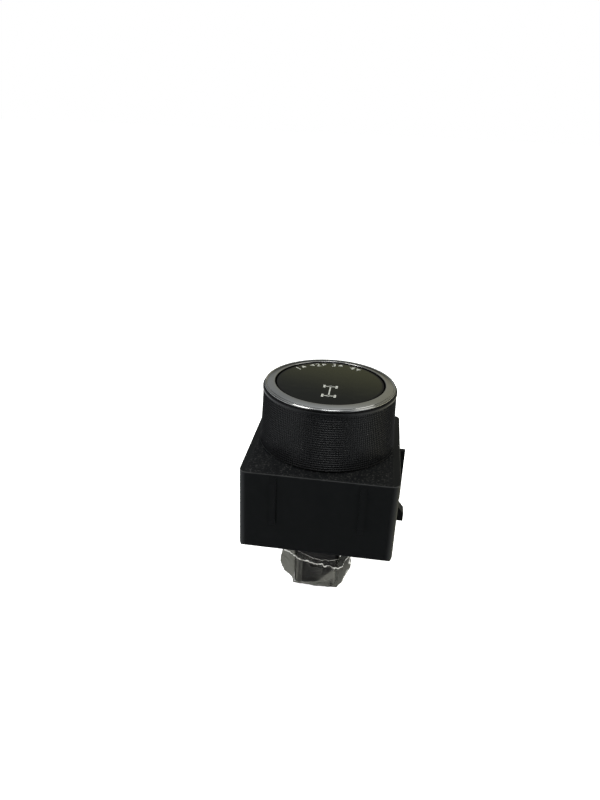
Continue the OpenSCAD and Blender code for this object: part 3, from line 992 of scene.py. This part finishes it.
def startSleeve(foot, top):
    # a plain tube, with as many points as the film needs
    startClean()
    middle = (0, filmShape["middleY"] * mm, foot)
    bpy.ops.mesh.primitive_circle_add(vertices=filmShape["columns"], radius=14 * mm, location=middle)
    sleeve = bpy.context.object
    bpy.ops.object.mode_set(mode="EDIT")
    bpy.ops.mesh.select_all(action="SELECT")
    for _ in range(filmShape["levels"]):
        step = (0, 0, (top - foot) / filmShape["levels"])
        bpy.ops.mesh.extrude_region_move(TRANSFORM_OT_translate={"value": step})
    bpy.ops.object.mode_set(mode="OBJECT")
    sleeve.select_set(True)
    bpy.ops.object.transform_apply(location=True)
    return sleeve


def makeFilm():
    foot, top = filmShape["foot"] * mm, filmShape["top"] * mm
    film = startSleeve(foot, top)
    tracks = [film.data.attributes.new(name, "FLOAT", "POINT") for name in ("crease", "milk", "shade")]
    for vertex in film.data.vertices:
        fromMiddle = vertex.co.y - filmShape["middleY"] * mm
        share = (math.atan2(vertex.co.x, fromMiddle) / (2 * math.pi)) % 1.0
        at = wrinkle(share, (vertex.co.z - foot) / (top - foot))
        vertex.co = pushedOut(at)
        for track, value in zip(tracks, filmLooks(share, at)):
            track.data[vertex.index].value = value
    bpy.context.view_layer.objects.active = film
    wall = film.modifiers.new("wall", "SOLIDIFY")
    wall.thickness, wall.offset = filmShape["thick"] * mm, 0
    bpy.ops.object.modifier_apply(modifier="wall")
    return settle(film, "socketFilm", 70)


film = makeFilm()
dress(film, wrappingFilm())
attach(film, "body")
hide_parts("connector_film")


# the floor, the lamps and the room that the bright parts mirror
floorSetup = {
    "size": 12.0,
    "tone": (0.93, 0.93, 0.92),
    "fibre": (0.88, 0.88, 0.88),
    "glow": 0.9,  # keeps the paper evenly white out to its edge
}


def makeFloor(setup):
    startClean()
    bpy.ops.mesh.primitive_plane_add(size=setup["size"], location=(0, 0, 0))
    floor = bpy.context.object
    floor.name = "studioFloor"
    paint = Paint("floorPaper")
    fibre = paint.cloud(3 * mm, 3.0, 0.6)
    tone = paint.blendColour(fibre * 0.04, setup["tone"], setup["fibre"])
    paint.finish(
        {"Base Color": tone, "Roughness": 0.9 + 0.05 * fibre},
        {"Specular IOR Level": 0.1, "Emission Color": (1, 1, 1), "Emission Strength": setup["glow"]},
    )
    dress(floor, paint.made)
    floor.visible_glossy = floor.visible_shadow = False  # the room below the floor lights the knob's sides


makeFloor(floorSetup)

lampSetup = {
    # name: place, size, watts, colour
    "keyLeft": ((-0.40, -0.34, 0.55), 0.30, 1.5, (1.0, 0.99, 0.97)),
    "fillRight": ((0.55, -0.20, 0.40), 0.40, 0.45, (1.0, 0.99, 0.92)),
    "overhead": ((0.03, -0.10, 0.72), 0.18, 0.40, (0.98, 0.99, 1.0)),
    "frontHigh": ((0.10, -0.62, 0.62), 0.42, 0.12, (0.97, 0.99, 1.0)),
    "sideLeft": ((-0.62, 0.22, 0.25), 0.36, 5.5, (0.98, 0.99, 1.0)),
    "sideRight": ((0.62, 0.26, 0.25), 0.36, 5.0, (1.0, 0.99, 0.88)),
}


def placeLamp(name, place, size, watts, colour):
    # every lamp is aimed at the foot of the knob
    lamp = bpy.data.lights.new(name, "AREA")
    lamp.size, lamp.energy, lamp.color = size, watts, colour
    holder = bpy.data.objects.new(name, lamp)
    bpy.context.scene.collection.objects.link(holder)
    holder.visible_glossy = not name.startswith("side")  # the side lamps don't streak the bezel
    aim = Vector((knobX, knobY, plateTop)) - Vector(place)
    holder.matrix_world = Matrix.Translation(place) @ aim.to_track_quat("-Z", "Y").to_matrix().to_4x4()


for name, lamp in lampSetup.items():
    placeLamp(name, *lamp)

skySetup = {
    "zenith": 0.45,
    "horizon": 0.06,
    "horizonRear": 0.21,
    "below": 0.012,
    "belowRear": 0.65,
    "belowLeft": 0.75,
    "belowRight": 0.80,
    "seen": 1.0,
}


def makeSky(setup):
    # bright overhead, dim towards the front, with pale ground behind; what the camera sees directly is white
    paint = Paint("softRoom", world=True)
    across, along, height = paint.axes(paint.place("Generated"))
    upward = paint.between(height, 0.55, 1.0)
    above = paint.between(height, 0.05, 0.34)
    rearward = paint.between(along, 0.1, 0.9)
    ground = setup["below"] + paint.between(0 - height, 0.15, 0.35) * (
        setup["belowRear"] * paint.between(along, 0.45, 0.92)
        + setup["belowLeft"] * paint.between(0 - across, 0.34, 0.86)
        + setup["belowRight"] * paint.between(across, 0.34, 0.86)
    )
    room = setup["horizon"] + (setup["horizonRear"] - setup["horizon"]) * rearward
    level = ground * (1 - above) + room * above * (1 - upward) + setup["zenith"] * upward
    warm = paint.between(across * 0.7 + along * 0.7, 0.25, 0.85) * (1 - upward)
    tint = paint.blendColour(warm, (0.96, 1.0, 1.02), (1.0, 0.98, 0.76))
    direct = paint.node("ShaderNodeLightPath")
    paint.finish(
        {
            "Color": paint.blendColour(direct, tint, (1, 1, 1)),
            "Strength": direct * setup["seen"] + (1 - direct) * level,
        }
    )
    bpy.context.scene.world = paint.made


makeSky(skySetup)
view = bpy.context.scene.view_settings
view.view_transform, view.look, view.exposure, view.gamma = "Standard", "None", 0.0, 1.0
print("studio ready")
